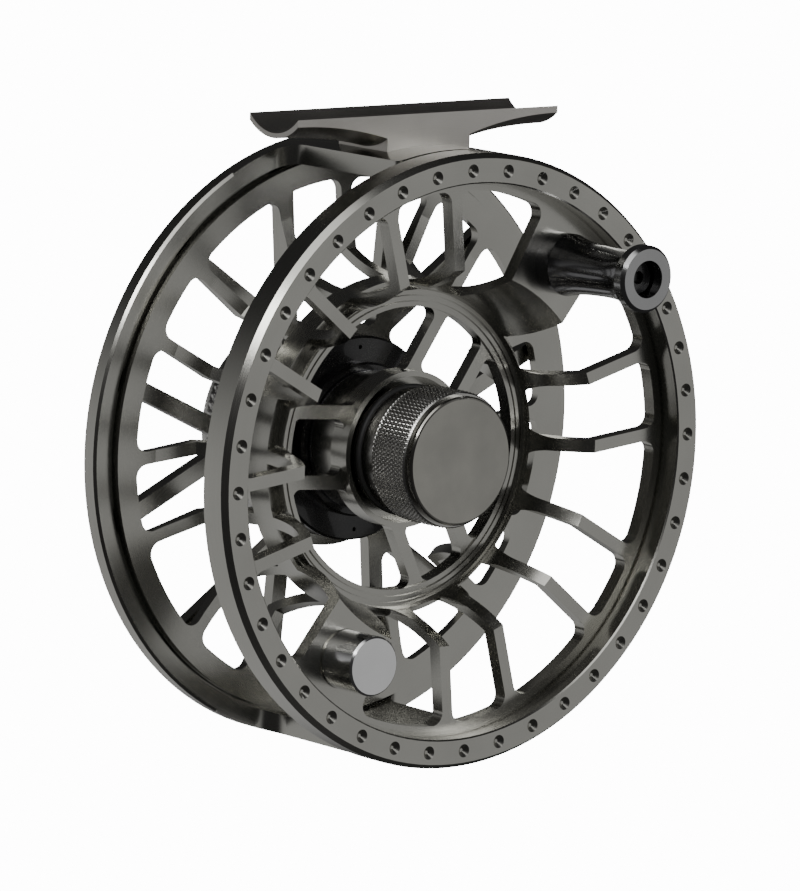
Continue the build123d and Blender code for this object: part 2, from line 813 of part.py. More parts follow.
with BuildPart() as frame:
    # Two bridges, cut from a tube by their outline seen from above
    tube(frame_ring_inner, reel_radius, bridge_front, frame_plate_front)
    with BuildSketch(Plane.XY) as outline:
        with Locations((0, (bridge_front + frame_back) / 2)):
            Rectangle(2 * bridge_half_width, frame_back - bridge_front)
        with Locations((0, (frame_ring_front + frame_back) / 2)):
            Rectangle(4 * bridge_half_width, frame_back - frame_ring_front)
        corners = outline.vertices()
        crotches = corners.filter_by(
            lambda v: abs(v.Y - frame_ring_front) < 0.01 and abs(abs(v.X) - bridge_half_width) < 0.01
        )
        fillet(crotches, bridge_flare)
        fillet(outline.vertices().group_by(Axis.Y)[0], bridge_front_corner)
    extrude(outline.sketch, amount=2 * reel_radius, both=True, mode=Mode.INTERSECT)

    # Rear ring and the plate that the back spokes are cut from
    turn([
        (frame_ring_inner, frame_ring_front),
        (reel_radius - frame_chamfer, frame_ring_front),
        (reel_radius, frame_ring_front + frame_chamfer),
        (reel_radius, frame_back - frame_chamfer),
        (reel_radius - frame_chamfer, frame_back),
        (frame_ring_inner, frame_back),
    ])
    tube(spindle_radius + seat_clearance, frame_ring_inner + frame_chamfer, frame_plate_front, frame_back)
    with BuildSketch(across(frame_back)) as back_openings:
        Circle(back_window_radius)
        Circle(frame_hub_radius, mode=Mode.SUBTRACT)
        for vee in range(vee_count):
            for side in (-1, 1):
                leg = Vector(
                    back_window_radius * cos(radians(vee_ring_angle)) - vee_apex,
                    side * back_window_radius * sin(radians(vee_ring_angle)),
                )
                leave_bar((vee_apex, 0), Vector(vee_apex, 0) + leg * 2, vee_width, vee * 360 / vee_count)
        with PolarLocations(vee_apex, vee_count):
            Circle(vee_width / 2, mode=Mode.SUBTRACT)
        fillet(corners_at(back_openings, back_window_radius), vee_corner)
        fillet(corners_at(back_openings, frame_hub_radius), vee_corner)
        lean = atan2(leg.Y, leg.X)
        fillet(corners_at(back_openings, vee_apex + vee_width / 2 / sin(lean)), vee_corner)
    extrude(back_openings.sketch, amount=back_plate_thickness, mode=Mode.SUBTRACT)

    # Holes in the hub disc
    for place in pin_places:
        tube(0, pin_radius + running_clearance, frame_plate_front, frame_back, place, mode=Mode.SUBTRACT)
    for place in screw_places:
        tube(0, housing_screw_radius + seat_clearance, frame_plate_front,
             frame_plate_front + housing_screw_reach + end_float, place, mode=Mode.SUBTRACT)

    # Counterbored holes for the foot's screws, from inside the top bridge
    for place in foot_screw_places:
        with Locations(Plane(origin=(place[0], place[1], frame_ring_inner), z_dir=(0, 0, 1))):
            Cylinder(foot_screw_radius + seat_clearance, 2 * rim_wall, mode=Mode.SUBTRACT)
            Cylinder(foot_head_radius + seat_clearance, 2 * foot_head_length, mode=Mode.SUBTRACT)

frame.part.label = "frame"
export_step(frame.part.moved(to_foot), "parts/frame.step")


# ---------------------------------------------------------------- foot

trough_axis = Axis((0, foot_middle, trough_height), (1, 0, 0))
half_foot = foot_length / 2
half_stem = stem_length / 2

with BuildPart() as foot:
    # Wings: turned about the rod's line, thin at the tips, then cut to the foot's width
    trough_middle = Plane(origin=(0, foot_middle, trough_height), x_dir=(1, 0, 0), z_dir=(0, -1, 0))
    with BuildSketch(trough_middle) as wings:
        with BuildLine():
            root = -(trough_radius + wing_root)
            tip = -(trough_radius + wing_tip)
            left = Spline((-half_foot, tip), (-half_stem, root), tangents=((1, 0), (1, -0.25)))
            right = Spline((half_stem, root), (half_foot, tip), tangents=((1, 0.25), (1, 0)))
            Polyline(left @ 1, right @ 0)
            Polyline(left @ 0, (-half_foot, -trough_radius), (half_foot, -trough_radius), right @ 1)
        make_face()
    revolve(wings.sketch, axis=trough_axis)
    with Locations((0, foot_middle, trough_height)):
        Box(foot_length, foot_width, 4 * trough_radius,
            align=(Align.CENTER, Align.CENTER, Align.MAX), mode=Mode.INTERSECT)

    # Stem, seated on the top bridge
    with Locations((0, foot_middle, frame_ring_inner)):
        Box(stem_length, foot_width, trough_height - trough_radius - frame_ring_inner + wing_root / 2,
            align=(Align.CENTER, Align.CENTER, Align.MIN))
    with BuildSketch(Plane(origin=(-foot_length, foot_middle, trough_height), z_dir=(1, 0, 0))) as trough:
        Circle(trough_radius)
    extrude(trough.sketch, amount=2 * foot_length, mode=Mode.SUBTRACT)
    tube(0, reel_radius, 0, frame_back, mode=Mode.SUBTRACT)
    for place in foot_screw_places:
        with Locations(Plane(origin=(place[0], place[1], frame_ring_inner), z_dir=(0, 0, 1))):
            Cylinder(foot_screw_radius + seat_clearance, 2 * (foot_screw_reach + end_float),
                     mode=Mode.SUBTRACT)

foot.part.label = "foot"
export_step(foot.part.moved(to_foot), "parts/foot.step")

with BuildPart() as foot_screws:
    head_top = frame_ring_inner + foot_head_length
    for place in foot_screw_places:
        with Locations((place[0], place[1], head_top)):
            Cylinder(foot_head_radius, foot_head_length, align=(Align.CENTER, Align.CENTER, Align.MAX))
            Cylinder(foot_screw_radius, foot_screw_reach - foot_head_length,
                     align=(Align.CENTER, Align.CENTER, Align.MIN))
        with Locations((place[0], place[1], frame_ring_inner)):
            Cylinder(driver_radius, driver_depth, align=(Align.CENTER, Align.CENTER, Align.MIN),
                     mode=Mode.SUBTRACT)

foot_screws.part.label = "foot_screws"
export_step(foot_screws.part.moved(to_foot), "parts/foot_screws.step")


# ---------------------------------------------------------------- drag housing

with BuildPart() as drag_housing:
    tube(0, housing_radius, cup_front, frame_plate_front)
    tube(0, housing_bore, cup_front, cup_floor, mode=Mode.SUBTRACT)
    tube(0, spindle_flange_radius + end_float, cup_floor, frame_plate_front, mode=Mode.SUBTRACT)
    for place in pin_places:
        tube(0, pin_radius + running_clearance, cup_floor, frame_plate_front, place, mode=Mode.SUBTRACT)
    for place in screw_places:
        tube(0, housing_screw_radius + seat_clearance, cup_front, frame_plate_front, place,
             mode=Mode.SUBTRACT)

drag_housing.part.label = "drag_housing"
export_step(drag_housing.part.moved(to_foot), "parts/drag_housing.step")

plunger_place = station(click_circle, 90)

with BuildPart() as housing_cover:
    turn([
        (sleeve_radius + end_float, cover_front),
        (cover_radius - cover_bevel, cover_front),
        (cover_radius, cover_front + cover_bevel),
        (cover_radius, housing_front),
        (housing_radius - cover_bevel, housing_front),
        (housing_radius, housing_front + cover_bevel),
        (housing_radius, cup_front),
        (seal_radius, cup_front),
        (seal_radius, cover_front + cover_lip),
        (sleeve_radius + end_float, cover_front + cover_lip),
    ])
    tube(0, plunger_radius + running_clearance, cover_front, cover_front + plunger_pocket,
         plunger_place, mode=Mode.SUBTRACT)
    for place in screw_places:
        tube(0, housing_screw_radius + seat_clearance, housing_front, cup_front, place,
             mode=Mode.SUBTRACT)
        tube(0, housing_head_radius + seat_clearance, housing_front, housing_front + housing_head_length,
             place, mode=Mode.SUBTRACT)

housing_cover.part.label = "housing_cover"
export_step(housing_cover.part.moved(to_foot), "parts/housing_cover.step")

with BuildPart() as housing_screws:
    for place in screw_places:
        tube(0, housing_head_radius, housing_front, housing_front + housing_head_length, place)
        tube(0, housing_screw_radius, housing_front + housing_head_length,
             frame_plate_front + housing_screw_reach, place)
        tube(0, housing_screw_radius / 2, housing_front, housing_front + housing_head_length / 2, place,
             mode=Mode.SUBTRACT)

housing_screws.part.label = "housing_screws"
export_step(housing_screws.part.moved(to_foot), "parts/housing_screws.step")

with BuildPart() as shaft_seal:
    tube(sleeve_radius + running_clearance, seal_radius - seat_clearance,
         cover_front + cover_lip, cover_front + cover_lip + seal_length)

shaft_seal.part.label = "shaft_seal"
export_step(shaft_seal.part.moved(to_foot), "parts/shaft_seal.step")


# ---------------------------------------------------------------- one-way clutch

with BuildPart() as clutch_shell:
    tube(shell_inner, shell_outer, shell_front, shell_front + shell_length)

clutch_shell.part.label = "clutch_shell"
export_step(clutch_shell.part.moved(to_foot), "parts/clutch_shell.step")

with BuildPart() as clutch_rollers:
    roller_front = shell_front + (shell_length - roller_length) / 2
    for roller in range(roller_count):
        tube(0, roller_radius, roller_front, roller_front + roller_length,
             station(roller_circle, roller * 360 / roller_count))

clutch_rollers.part.label = "clutch_rollers"
export_step(clutch_rollers.part.moved(to_foot), "parts/clutch_rollers.step")


# ---------------------------------------------------------------- drag discs

with BuildPart() as front_friction_disc:
    tube(shell_outer + end_float, disc_radius, front_disc_front, front_disc_front + disc_thickness)

front_friction_disc.part.label = "front_friction_disc"
export_step(front_friction_disc.part.moved(to_foot), "parts/front_friction_disc.step")

with BuildPart() as rotor_disc:
    tube(shell_outer + seat_clearance, disc_radius, rotor_front, rotor_front + disc_thickness)

rotor_disc.part.label = "rotor_disc"
export_step(rotor_disc.part.moved(to_foot), "parts/rotor_disc.step")

with BuildPart() as rear_friction_disc:
    tube(shell_outer + end_float, disc_radius, rear_disc_front, rear_disc_front + disc_thickness)

rear_friction_disc.part.label = "rear_friction_disc"
export_step(rear_friction_disc.part.moved(to_foot), "parts/rear_friction_disc.step")

with BuildPart() as pressure_plate:
    tube(shell_outer + end_float, disc_radius, plate_front, plate_back)
    for place in pin_places:
        tube(0, pin_radius, plate_back, thrust_front, place)

pressure_plate.part.label = "pressure_plate"
export_step(pressure_plate.part.moved(to_foot), "parts/pressure_plate.step")


# ---------------------------------------------------------------- drag adjuster

with BuildPart() as thrust_ring:
    tube(spindle_radius + running_clearance, thrust_radius, thrust_front, thrust_back)

thrust_ring.part.label = "thrust_ring"
export_step(thrust_ring.part.moved(to_foot), "parts/thrust_ring.step")

with BuildPart() as drag_springs:
    disc_springs(spindle_radius + spring_inner_gap, spring_outer, spring_gauge,
                 thrust_back, thrust_back + spring_length, spring_count)

drag_springs.part.label = "drag_springs"
export_step(drag_springs.part.moved(to_foot), "parts/drag_springs.step")

with BuildPart() as adjuster_nut:
    with BuildSketch(across(nut_front)) as hexagon:
        RegularPolygon(nut_hex_radius, 6)
    extrude(hexagon.sketch, amount=-nut_length)
    tube(0, spindle_radius + running_clearance, nut_front, nut_front + nut_length, mode=Mode.SUBTRACT)

adjuster_nut.part.label = "adjuster_nut"
export_step(adjuster_nut.part.moved(to_foot), "parts/adjuster_nut.step")

with BuildPart() as drag_knob:
    turn([
        (knob_radius - knob_wall, knob_front),
        (knob_radius - knob_chamfer / 2, knob_front),
        (knob_radius, knob_front + knob_chamfer / 2),
        (knob_radius, knob_back - knob_chamfer),
        (knob_radius - knob_chamfer, knob_back),
        (0, knob_back),
        (0, knob_floor),
        (knob_radius - knob_wall, knob_floor),
    ])
    tube(0, nut_hex_radius + knob_boss_wall, knob_floor - knob_boss_length, knob_floor)
    with BuildSketch(across(knob_floor)) as socket:
        RegularPolygon(nut_hex_radius + running_clearance, 6)
    extrude(socket.sketch, amount=knob_boss_length, mode=Mode.SUBTRACT)
    tube(0, knob_screw_radius + running_clearance, knob_floor, knob_back, mode=Mode.SUBTRACT)
    tube(0, knob_head_radius + running_clearance, knob_back - knob_head_length, knob_back,
         mode=Mode.SUBTRACT)

drag_knob.part.label = "drag_knob"
export_step(drag_knob.part.moved(to_foot), "parts/drag_knob.step")

with BuildPart() as knob_screw:
    tube(0, knob_head_radius, knob_back - knob_head_length + end_float, knob_back)
    tube(0, knob_screw_radius, knob_floor - knob_screw_length + end_float,
         knob_back - knob_head_length + end_float)
    tube(0, driver_radius, knob_back - driver_depth, knob_back, mode=Mode.SUBTRACT)

knob_screw.part.label = "knob_screw"
export_step(knob_screw.part.moved(to_foot), "parts/knob_screw.step")


# ---------------------------------------------------------------- click

with BuildPart() as click_plunger:
    tip = click_ring_back - plunger_tip_reach
    shoulder = cover_front + plunger_tip_radius / 2
    turn([
        (0, tip),
        (plunger_tip_radius / 2, tip),
        (plunger_tip_radius, shoulder - plunger_tip_radius / 2),
        (plunger_radius, shoulder),
        (plunger_radius, shoulder + plunger_length),
        (0, shoulder + plunger_length),
    ], plunger_place)

click_plunger.part.label = "click_plunger"
export_step(click_plunger.part.moved(to_foot), "parts/click_plunger.step")

with BuildPart() as click_spring:
    disc_springs(click_spring_inner, click_spring_outer, click_spring_gauge,
                 shoulder + plunger_length, cover_front + plunger_pocket, click_spring_count,
                 plunger_place)

click_spring.part.label = "click_spring"
export_step(click_spring.part.moved(to_foot), "parts/click_spring.step")
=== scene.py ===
# %% [markdown]
# # A large-arbor fly reel
#
# The reel is machined from bar and anodised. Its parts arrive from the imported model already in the
# right place, in metres, with X along the reel foot, Y running back along the spindle and Z up. This
# notebook gives them their finishes, cuts the two knurls that grip the fingers, and lights the result.

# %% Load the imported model
import math

import bpy
import numpy as np
from mathutils import Matrix, Vector


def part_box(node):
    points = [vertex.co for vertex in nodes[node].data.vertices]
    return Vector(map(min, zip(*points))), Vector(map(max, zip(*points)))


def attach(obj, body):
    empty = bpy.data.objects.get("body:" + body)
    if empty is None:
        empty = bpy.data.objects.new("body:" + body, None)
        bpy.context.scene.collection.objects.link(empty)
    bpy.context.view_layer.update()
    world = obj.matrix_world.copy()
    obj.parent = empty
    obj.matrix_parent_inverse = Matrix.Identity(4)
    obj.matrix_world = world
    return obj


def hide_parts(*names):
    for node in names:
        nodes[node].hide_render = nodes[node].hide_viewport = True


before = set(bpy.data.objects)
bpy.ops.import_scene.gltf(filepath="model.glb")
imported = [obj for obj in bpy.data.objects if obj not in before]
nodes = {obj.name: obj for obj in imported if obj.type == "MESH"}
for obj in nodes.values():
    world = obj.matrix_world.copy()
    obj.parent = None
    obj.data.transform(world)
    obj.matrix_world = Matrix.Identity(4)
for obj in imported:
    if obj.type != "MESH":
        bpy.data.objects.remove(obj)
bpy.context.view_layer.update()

# %% [markdown]
# ## Where the spindle is
#
# Nearly every shape on a reel is turned about the spindle, so its middle line is the natural place to
# measure from. The spindle's own box gives it, and the palming rim's face gives the depth to start at.

# %% The spindle's line and the rim's face
MM = 0.001
spindle_low, spindle_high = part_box("spindle")
spool_low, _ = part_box("spool")
AXIS = Vector(((spindle_low.x + spindle_high.x) / 2, 0, (spindle_low.z + spindle_high.z) / 2))
RIM_FACE = spool_low.y
print("spindle at", tuple(round(1000 * v, 2) for v in AXIS))


def middle_of(node):
    """The middle of a node's box."""
    low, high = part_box(node)
    return (low + high) / 2


# %% [markdown]
# ## A short way to write shader maths
#
# A finish is easier to read as a formula than as a heap of nodes. `Value` wraps one socket, and the
# operators on it add Math nodes. Every other node comes from `Finish.node`, which sets the node up
# and then fills its sockets.


# %% Values and finishes
class Value:
    """A number that varies over a surface: one output socket and the finish that it belongs to."""

    def __init__(self, finish, socket):
        self.finish = finish
        self.socket = socket

    def math(self, operation, *others):
        return self.finish.node("ShaderNodeMath", {"operation": operation}, [self, *others])

    def __add__(self, other):
        return self.math("ADD", other)

    def __sub__(self, other):
        return self.math("SUBTRACT", other)

    def __mul__(self, other):
        return self.math("MULTIPLY", other)

    def __pow__(self, other):
        return self.math("POWER", other)

    __radd__ = __add__
    __rmul__ = __mul__


class Graph:
    """A tree of shader nodes, with short calls that add to it."""

    def __init__(self, tree):
        self.tree = tree

    def node(self, kind, settings=None, inputs=None, output=0):
        """Adds a node: its settings first, then its sockets by number or name; returns one output."""
        made = self.tree.nodes.new(kind)
        for key, value in (settings or {}).items():
            if key == "stops":
                self.fill_ramp(made.color_ramp, value)
            else:
                setattr(made, key, value)
        pairs = inputs.items() if isinstance(inputs, dict) else enumerate(inputs or [])
        for key, value in pairs:
            if isinstance(value, Value):
                self.tree.links.new(value.socket, made.inputs[key])
            else:
                made.inputs[key].default_value = value
        return Value(self, made.outputs[output])

    def fill_ramp(self, ramp, stops):
        """Gives a colour ramp its stops, each a place and a grey level or a colour."""
        while len(ramp.elements) > 1:
            ramp.elements.remove(ramp.elements[0])
        for index, (place, level) in enumerate(stops):
            stop = ramp.elements[0] if index == 0 else ramp.elements.new(place)
            stop.position = place
            stop.color = (level, level, level, 1) if isinstance(level, (int, float)) else (*level, 1)

    def place(self):
        """The point on the surface, in the reel's own frame."""
        return self.node("ShaderNodeTexCoord", output="Object")

    def about(self, centre):
        """The point measured from a centre, split into x, y and z."""
        moved = self.node(
            "ShaderNodeVectorMath", {"operation": "SUBTRACT"}, [self.place(), tuple(centre)]
        )
        split = self.tree.nodes.new("ShaderNodeSeparateXYZ")
        self.tree.links.new(moved.socket, split.inputs[0])
        return [Value(self, output) for output in split.outputs]

    def noise(self, scale, detail=2.0, vector=None):
        """Soft noise from 0 to 1, about 1 / scale metres across."""
        inputs = {"Vector": vector or self.place(), "Scale": scale, "Detail": detail}
        return self.node("ShaderNodeTexNoise", inputs=inputs)

    def blend(self, mask, first, second):
        """A colour that is the first where the mask is 0 and the second where it is 1."""
        made = self.tree.nodes.new("ShaderNodeMix")
        made.data_type = "RGBA"
        self.tree.links.new(mask.socket, made.inputs["Factor"])
        colours = [socket for socket in made.inputs if socket.type == "RGBA"]
        for socket, colour in zip(colours, (first, second)):
            if isinstance(colour, Value):
                self.tree.links.new(colour.socket, socket)
            else:
                socket.default_value = (*colour, 1)
        result = [socket for socket in made.outputs if socket.type == "RGBA"][0]
        return Value(self, result)


class Finish(Graph):
    """A material under construction, with its Principled shader."""

    def __init__(self, name, **constants):
        self.material = bpy.data.materials.new(name)
        self.material.use_nodes = True
        super().__init__(self.material.node_tree)
        self.shader = self.tree.nodes["Principled BSDF"]
        for key, value in constants.items():
            self.shader.inputs[key.replace("_", " ")].default_value = value

    def feed(self, name, value):
        """Links a value or a colour to one of the shader's sockets."""
        self.tree.links.new(value.socket, self.shader.inputs[name])

    def bump(self, height, distance, strength=1.0):
        """Raises the surface by a height from 0 to 1 times a distance in metres."""
        normal = self.node(
            "ShaderNodeBump", inputs={"Strength": strength, "Distance": distance, "Height": height},
            output="Normal",
        )
        self.feed("Normal", normal)


# %% [markdown]
# ## Anodised aluminium
#
# The spool and the frame are turned and milled, tumbled to a satin, then anodised gun grey. Three
# things make that finish: very fine rings left by the lathe about the spindle, a soft clouding of the
# dye, and a grain so fine that it only softens the reflections. The rings are noise read along the
# radius alone, so they run round the spindle on every face that is square to it.


# %% Gun-grey anodised finish
def anodised(name, dark, light, roughness, ring_depth=2.0e-6, grain_depth=1.5e-6):
    finish = Finish(name, Metallic=1.0)
    x, y, z = finish.about(AXIS)
    radius = (x * x + z * z) ** 0.5
    line = finish.node("ShaderNodeCombineXYZ", inputs=[radius, y * 0.35, 0.0])
    rings = finish.noise(9000.0, detail=3.0, vector=line)
    clouds = finish.noise(60.0, detail=3.0)
    grain = finish.noise(7000.0, detail=2.0)
    tone = clouds * 0.6 + rings * 0.25 + grain * 0.15
    mask = finish.node("ShaderNodeValToRGB", {"stops": [(0.30, 0.0), (0.70, 1.0)]}, [tone])
    finish.feed("Base Color", finish.blend(mask, dark, light))
    finish.feed("Roughness", clouds * 0.10 + rings * 0.06 + (roughness - 0.08))
    finish.bump(rings * ring_depth * 1e5 + grain * grain_depth * 1e5, 1e-5)
    return finish.material


satin_grey = anodised("satin_gun_grey", (0.40, 0.395, 0.365), (0.47, 0.465, 0.430), 0.22)
foot_grey = anodised(
    "blasted_gun_grey", (0.40, 0.385, 0.36), (0.50, 0.485, 0.455), 0.34, ring_depth=0.0, grain_depth=8e-6
)
print("anodised finishes:", satin_grey.name, foot_grey.name)

# %% [markdown]
# ## Polished, glossy and plain finishes
#
# The cap's face and the grip's end ring are polished before they are dyed, so they mirror the room.
# The counterweight is bare bright metal. The grip is glossy black, and the drag housing is a hard
# black anodise. Steel, bronze, friction and rubber are seen only through the windows.


# %% The other finishes
def polished(name, dark, light, roughness, centre, rings=0.0):
    finish = Finish(name, Metallic=1.0)
    x, y, z = finish.about(centre)
    radius = (x * x + z * z) ** 0.5
    line = finish.node("ShaderNodeCombineXYZ", inputs=[radius, y, 0.0])
    turned = finish.noise(7000.0, detail=2.0, vector=line)
    clouds = finish.noise(140.0, detail=3.0)
    finish.feed("Base Color", finish.blend(clouds, dark, light))
    finish.feed("Roughness", clouds * 0.06 + turned * 0.04 + (roughness - 0.05))
    finish.bump(turned * rings, 1e-5)
    return finish.material


def dyed(name, dark, light, roughness, metallic, grain, depth, coat=0.0):
    finish = Finish(name, Metallic=metallic, Coat_Weight=coat, Coat_Roughness=0.05)
    clouds = finish.noise(220.0, detail=3.0)
    fine = finish.noise(grain, detail=2.0)
    finish.feed("Base Color", finish.blend(clouds, dark, light))
    finish.feed("Roughness", clouds * 0.10 + fine * 0.08 + (roughness - 0.09))
    finish.bump(fine, depth)
    return finish.material


cap_middle = middle_of("cap_disc")
grip_middle = middle_of("handle_grip")
weight_middle = middle_of("counterweight")
cap_polish = polished("polished_champagne", (0.30, 0.295, 0.27), (0.44, 0.43, 0.39), 0.14, cap_middle, 0.05)
ring_polish = polished("polished_grey", (0.36, 0.36, 0.36), (0.44, 0.44, 0.44), 0.16, grip_middle, 0.05)
weight_bright = polished("bright_turned", (0.72, 0.72, 0.72), (0.86, 0.86, 0.86), 0.17, weight_middle, 0.20)
band_dark = polished("polished_dark", (0.10, 0.10, 0.10), (0.14, 0.14, 0.14), 0.20, cap_middle, 0.10)
knurl_grey = anodised("knurled_gun_grey", (0.42, 0.415, 0.40), (0.50, 0.495, 0.475), 0.24)
grip_black = dyed("gloss_black", (0.16, 0.16, 0.167), (0.22, 0.22, 0.228), 0.22, 1.0, 3000.0, 1e-6, 1.0)
drag_black = dyed("hard_black", (0.008, 0.008, 0.009), (0.016, 0.016, 0.017), 0.28, 0.0, 6000.0, 1e-6, 0.5)
steel = dyed("turned_steel", (0.42, 0.42, 0.44), (0.58, 0.58, 0.60), 0.26, 1.0, 5000.0, 1e-6)
bronze = dyed("bearing_bronze", (0.42, 0.26, 0.11), (0.55, 0.36, 0.16), 0.30, 1.0, 5000.0, 1e-6)
friction = dyed("friction_composite", (0.03, 0.03, 0.032), (0.07, 0.07, 0.072), 0.62, 0.0, 1500.0, 2e-5)
seal_rubber = dyed("seal_rubber", (0.010, 0.010, 0.010), (0.022, 0.022, 0.022), 0.55, 0.0, 4000.0, 3e-6)

# %% Which finish each part has
WEAR = {
    satin_grey: ["spool", "frame"],
    foot_grey: ["foot"],
    cap_polish: ["cap_disc"],
    knurl_grey: ["spool_cap", "drag_knob"],
    ring_polish: ["handle_end_ring"],
    grip_black: ["handle_grip", "handle_foot"],
    weight_bright: ["counterweight"],
    drag_black: ["drag_housing", "housing_cover", "housing_screws", "handle_screw", "handle_washer"],
    bronze: ["front_bushing", "rear_bushing", "adjuster_nut"],
    friction: ["front_friction_disc", "rear_friction_disc"],
    seal_rubber: ["cap_o_ring", "shaft_seal"],
}
for part in nodes.values():
    part.data.materials.clear()
    part.data.materials.append(steel)
for material, names in WEAR.items():
    for name in names:
        nodes[name].data.materials[0] = material
print("finishes in use:", len(WEAR) + 1)


# %% [markdown]
# ## Surfaces worked out as arrays
#
# A turned part is a profile carried round an axis. `turned_grid` works out every point of it at once:
# one row of points for each step along the profile and one column for each step round. A function of
# both can raise or sink the surface, which is how a knurl is rolled into a plain band.


# %% Turned surfaces
def turned_grid(profile, steps, centre, relief=None):
    """Points (r cos a, y, r sin a) about a line along Y, r and y from the profile, r raised by relief."""
    angle = np.arange(steps) * 2 * math.pi / steps
    radius, depth = (np.repeat(column[:, None], steps, axis=1) for column in np.asarray(profile).T)
    if relief is not None:
        radius = radius + relief(angle[None, :], depth)
    around = np.broadcast_to(angle, radius.shape)
    points = np.stack([radius * np.cos(around), depth, radius * np.sin(around)], axis=-1)
    return points + np.array([centre[0], 0.0, centre[2]])


def closed_mesh(name, points, material, body, stands_for):
    """Joins a grid of points into quads, closes each end on its own ring, and puts it on a body."""
    rows, columns, _ = points.shape
    index = np.arange(rows * columns).reshape(rows, columns)
    beside = np.roll(index, -1, axis=1)
    quads = np.stack([index[:-1], index[1:], beside[1:], beside[:-1]], axis=-1).reshape(-1, 4)
    mesh = bpy.data.meshes.new(name)
    ends = [index[0].tolist(), index[-1][::-1].tolist()]
    mesh.from_pydata(points.reshape(-1, 3).tolist(), [], quads.tolist() + ends)
    mesh.validate()
    piece = bpy.data.objects.new(name, mesh)
    bpy.context.scene.collection.objects.link(piece)
    mesh.materials.append(material)
    shade(piece)
    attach(piece, body)
    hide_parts(stands_for)
    print(name, "faces:", len(mesh.polygons))


def shade(piece, sharp=math.radians(32)):
    """Smooth shading, with edges sharper than an angle left crisp."""
    piece.data.polygons.foreach_set("use_smooth", [True] * len(piece.data.polygons))
    piece.data.set_sharp_from_angle(angle=sharp)
    piece.data.update()


# %% [markdown]
# ## The two knurls
#
# A knurl is two sets of fine grooves that cross, pressed in by a hardened wheel. Each set is a
# straight ramp wound round the band, one left-handed and one right-handed, and where both are high a
# little pyramid stands. The cap has a fine one all over its grip and the drag knob a coarser one.


# %% Knurled cap
def ridge(phase):
    """A triangle wave from 0 to 1 that rises and falls once per turn of its phase."""
    return 1 - np.abs(2 * (phase - np.floor(phase)) - 1)


def diamonds(count, pitch, height, start, end, fade):
    """Relief of a diamond knurl: two crossing sets of count ridges, fading at both ends of the band."""

    def relief(angle, depth):
        turns = count * angle / (2 * math.pi)
        along = depth / pitch
        crossing = np.minimum(ridge(turns + along), ridge(turns - along))
        inside = np.clip(np.minimum(depth - start, end - depth) / fade, 0, 1)
        return height * crossing * inside - height * 0.5 * inside

    return relief


def stepped(corners, spacing):
    """A profile through the corners with points no further apart than the spacing."""
    corners = np.asarray(corners, float)
    stretches = []
    for start, end in zip(corners[:-1], corners[1:]):
        count = max(1, int(np.ceil(np.linalg.norm(end - start) / spacing)))
        share = np.arange(count)[:, None] / count
        stretches.append(start + (end - start) * share)
    return np.concatenate([*stretches, corners[-1:]])


cap_low, cap_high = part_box("spool_cap")
cap_radius = (cap_high.x - cap_low.x) / 2
cap_front = cap_low.y
CAP_GRIP = 9.4 * MM
CAP_TEETH = 100
CAP_PITCH = 1.1 * MM
CAP_TOOTH = 0.42 * MM
CAP_FADE = 0.15 * MM
CAP_BORE = 3.2 * MM
knurl_end = cap_front + CAP_GRIP
BEVEL = 0.6 * MM
EDGE = 0.25 * MM
BAND = 0.8 * MM
cap_profile = np.concatenate([
    [[1.0 * MM, cap_front], [cap_radius - EDGE, cap_front]],
    stepped([[cap_radius, cap_front + EDGE], [cap_radius, knurl_end - BEVEL]], 0.11 * MM),
    [
        [cap_radius - BEVEL, knurl_end],
        [cap_radius - BAND, knurl_end],
        [cap_radius - BAND, knurl_end + 0.3 * MM],
        [cap_radius - BAND, cap_high.y - 0.3 * MM],
        [cap_radius - BAND - 0.3 * MM, cap_high.y],
        [CAP_BORE, cap_high.y],
    ],
])
cap_knurl = diamonds(CAP_TEETH, CAP_PITCH, CAP_TOOTH, cap_front + EDGE, knurl_end - BEVEL, CAP_FADE)
closed_mesh(
    "knurled_cap", turned_grid(cap_profile, 9 * CAP_TEETH, AXIS, cap_knurl), knurl_grey, "cap_body",
    "spool_cap",
)

# %% Knurled drag knob
knob_low, knob_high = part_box("drag_knob")
knob_radius = (knob_high.x - knob_low.x) / 2
knob_front = knob_low.y
knob_back = knob_high.y
WALL = 2.4 * MM
KNOB_TEETH = 72
KNOB_PITCH = 1.63 * MM
KNOB_TOOTH = 0.40 * MM
KNOB_FADE = 0.5 * MM
knob_grip = (knob_front + 1.2 * MM, knob_back - 1.8 * MM)
knob_profile = np.concatenate([
    [[knob_radius - WALL, knob_back - WALL], [knob_radius - WALL, knob_front]],
    [[knob_radius - BEVEL, knob_front], [knob_radius, knob_front + BEVEL]],
    stepped([[knob_radius, knob_grip[0]], [knob_radius, knob_grip[1]]], 0.18 * MM),
    [[knob_radius, knob_back - 1.0 * MM], [knob_radius - 0.4 * MM, knob_back - 0.3 * MM]],
    [[knob_radius - 1.0 * MM, knob_back], [knob_radius - 4.2 * MM, knob_back]],
    [[knob_radius - 4.4 * MM, knob_back - 0.35 * MM], [knob_radius - 5.0 * MM, knob_back - 0.35 * MM]],
    [[knob_radius - 5.2 * MM, knob_back], [3.6 * MM, knob_back], [3.6 * MM, knob_back - 1.2 * MM]],
])
knob_knurl = diamonds(KNOB_TEETH, KNOB_PITCH, KNOB_TOOTH, *knob_grip, KNOB_FADE)
closed_mesh(
    "knurled_knob", turned_grid(knob_profile, 10 * KNOB_TEETH, AXIS, knob_knurl), knurl_grey, "knob_body",
    "drag_knob",
)

# %% [markdown]
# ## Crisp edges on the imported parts
#
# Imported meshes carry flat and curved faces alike. Smooth shading with a limit on the angle keeps the
# turned walls round and the milled corners crisp, and moves no point.

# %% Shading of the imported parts
for part in nodes.values():
    if part.data.has_custom_normals:
        continue
    shade(part)

